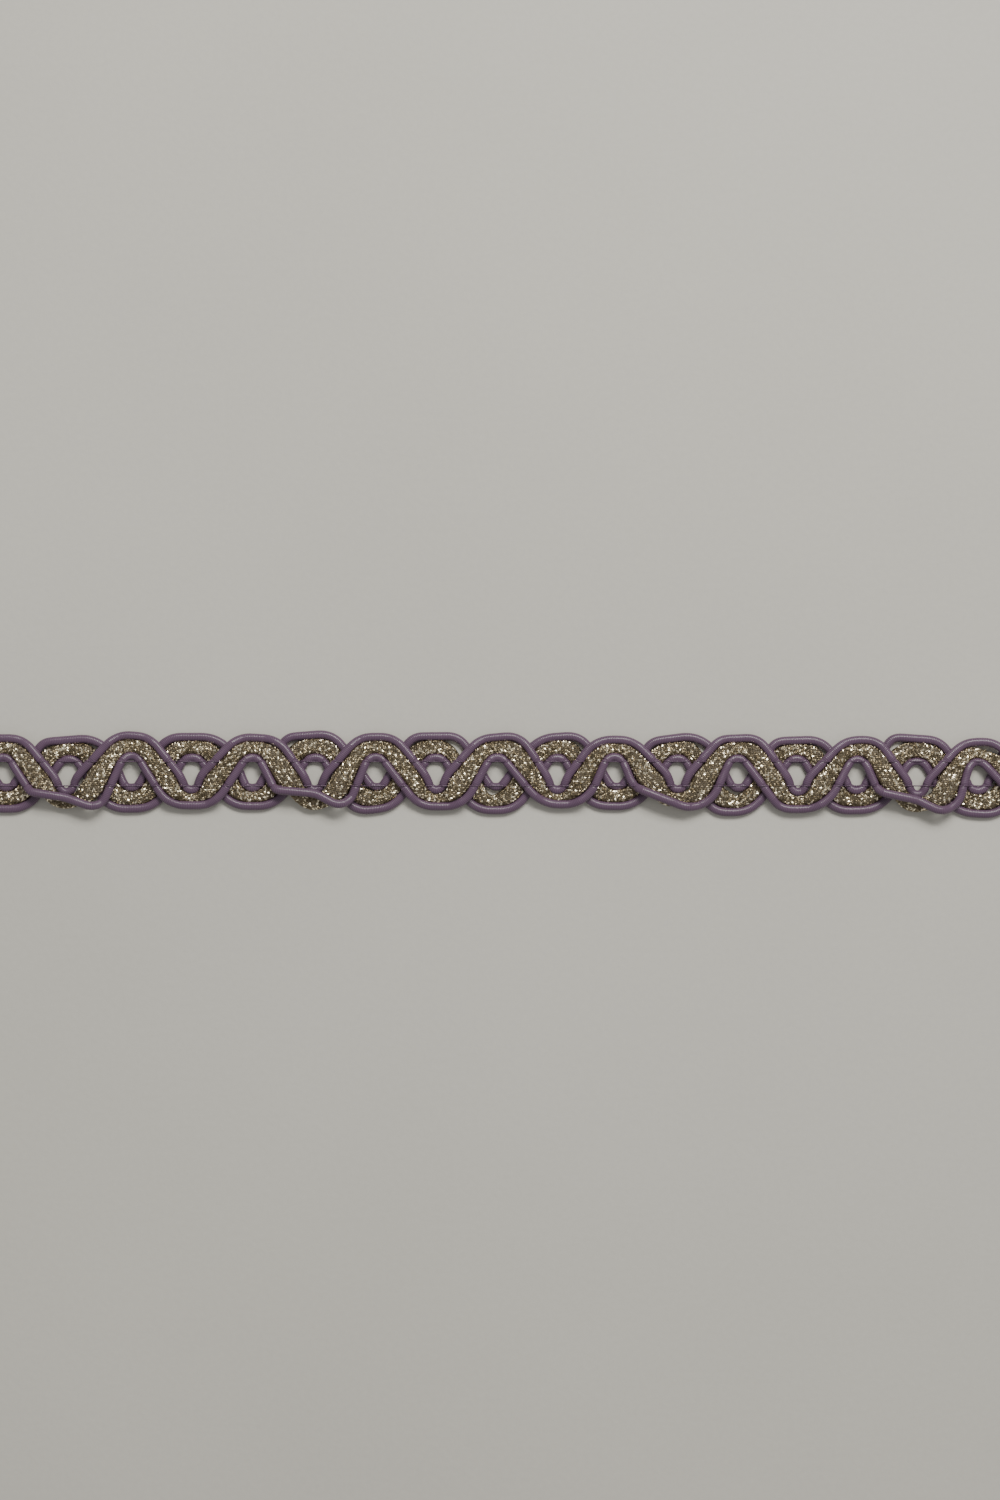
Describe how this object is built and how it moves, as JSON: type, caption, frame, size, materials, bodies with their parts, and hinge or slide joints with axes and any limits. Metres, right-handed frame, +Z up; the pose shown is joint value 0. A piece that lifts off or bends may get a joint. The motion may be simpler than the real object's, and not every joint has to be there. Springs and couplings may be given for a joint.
{
  "type": "metallic trim",
  "caption": "Flat interlaced braid trim of crossing wavy bands, each a thick gold metallic core cord edged with thin lilac wrapped cords, cut square at both ends.",
  "frame": {"origin": "middle of the trim's length and width, on the plane that it rests on", "axes": "+X along the trim, +Y across it towards the top of the picture, +Z up out of the face that shows"},
  "size_m": [0.187, 0.0156, 0.0043],
  "materials": {
    "gold_core": "braided metallic foil yarn, glittering",
    "lilac_gimp": "satin thread wrapped round a cord"
  },
  "bodies": {
    "root": {"back_core": "gold_core", "back_upper_gimp": "lilac_gimp", "back_lower_gimp": "lilac_gimp", "front_core": "gold_core", "front_upper_gimp": "lilac_gimp", "front_lower_gimp": "lilac_gimp"}
  },
  "joints": []
}
